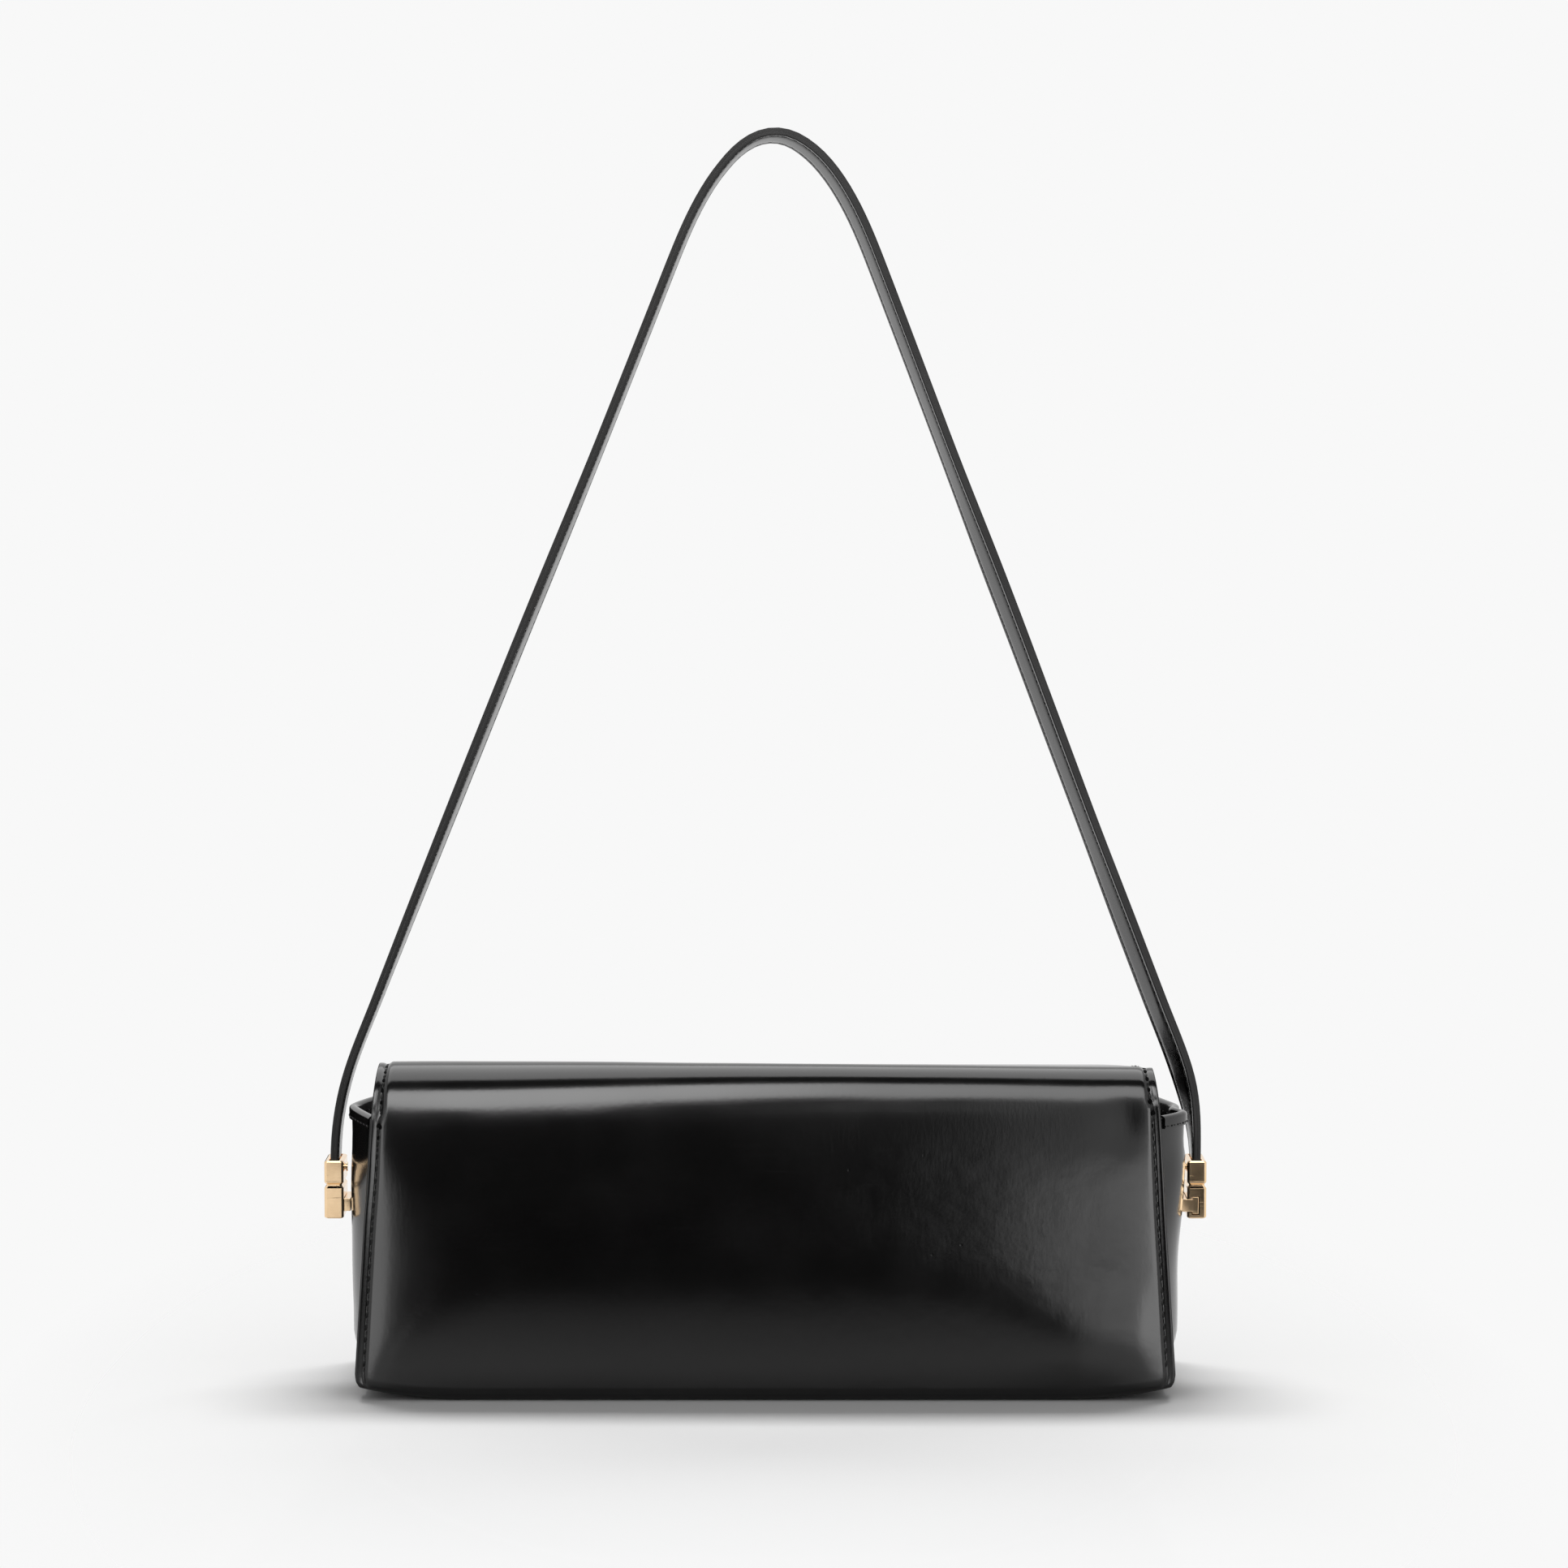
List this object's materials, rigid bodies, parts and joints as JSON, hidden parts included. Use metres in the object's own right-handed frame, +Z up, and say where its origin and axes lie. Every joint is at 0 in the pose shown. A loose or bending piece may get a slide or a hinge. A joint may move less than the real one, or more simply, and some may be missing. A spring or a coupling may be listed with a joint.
{
  "type": "shoulder bag",
  "caption": "Small structured leather shoulder bag: padded body with bulging end gussets, a flap that folds over the mouth, and a flat strap standing in metal end caps.",
  "frame": {"origin": "on the table under the middle of the bag, on the flat underside of the leather", "axes": "+X along the bag's width, to the right in the picture; +Y towards the bag's front, away from the camera; +Z up"},
  "size_m": [0.2846, 0.0772, 0.405],
  "materials": {
    "black_leather": "smooth, semi-gloss",
    "strap_leather": "smooth faces, matte painted edges",
    "lining_cloth": "fine weave, matte",
    "gold_metal": "polished, pale gold",
    "steel": "plain",
    "stiffener": "bonded fibre board, matte",
    "wadding": "soft padding"
  },
  "bodies": {
    "bag": {"body_wrap": "black_leather", "gusset_left": "black_leather", "gusset_right": "black_leather", "gusset_binding_left": "black_leather", "gusset_binding_right": "black_leather", "mouth_facing_back": "black_leather", "mouth_facing_front": "black_leather", "back_padding": "wadding", "front_padding": "wadding", "back_board": "stiffener", "front_board": "stiffener", "base_board": "stiffener", "lining_wrap": "lining_cloth", "lining_end_left": "lining_cloth", "lining_end_right": "lining_cloth", "slip_pocket": "lining_cloth", "front_magnet_left": "steel", "front_magnet_right": "steel", "anchor_plate_left": "steel", "anchor_plate_right": "steel"},
    "flap": {"flap_leather": "black_leather", "flap_core": "stiffener", "flap_lining": "black_leather", "flap_magnet_left": "steel", "flap_magnet_right": "steel"},
    "strap": {"strap_outer": "strap_leather", "strap_inner": "strap_leather", "end_cap_left": "gold_metal", "end_cap_right": "gold_metal", "strap_screw_left": "gold_metal", "strap_screw_right": "gold_metal", "t_bar_left": "gold_metal", "t_bar_right": "gold_metal", "post_washer_left": "steel", "post_washer_right": "steel"}
  },
  "joints": [
    {"name": "flap_hinge", "type": "hinge", "parent": "bag", "child": "flap", "pos_m": [0, -0.02679, 0.1018], "axis": [1, 0, 0], "range_deg": [0, 150]},
    {"name": "strap_swing", "type": "hinge", "parent": "bag", "child": "strap", "pos_m": [0, 0, 0.0584], "axis": [1, 0, 0], "range_deg": [-97, 97]}
  ]
}
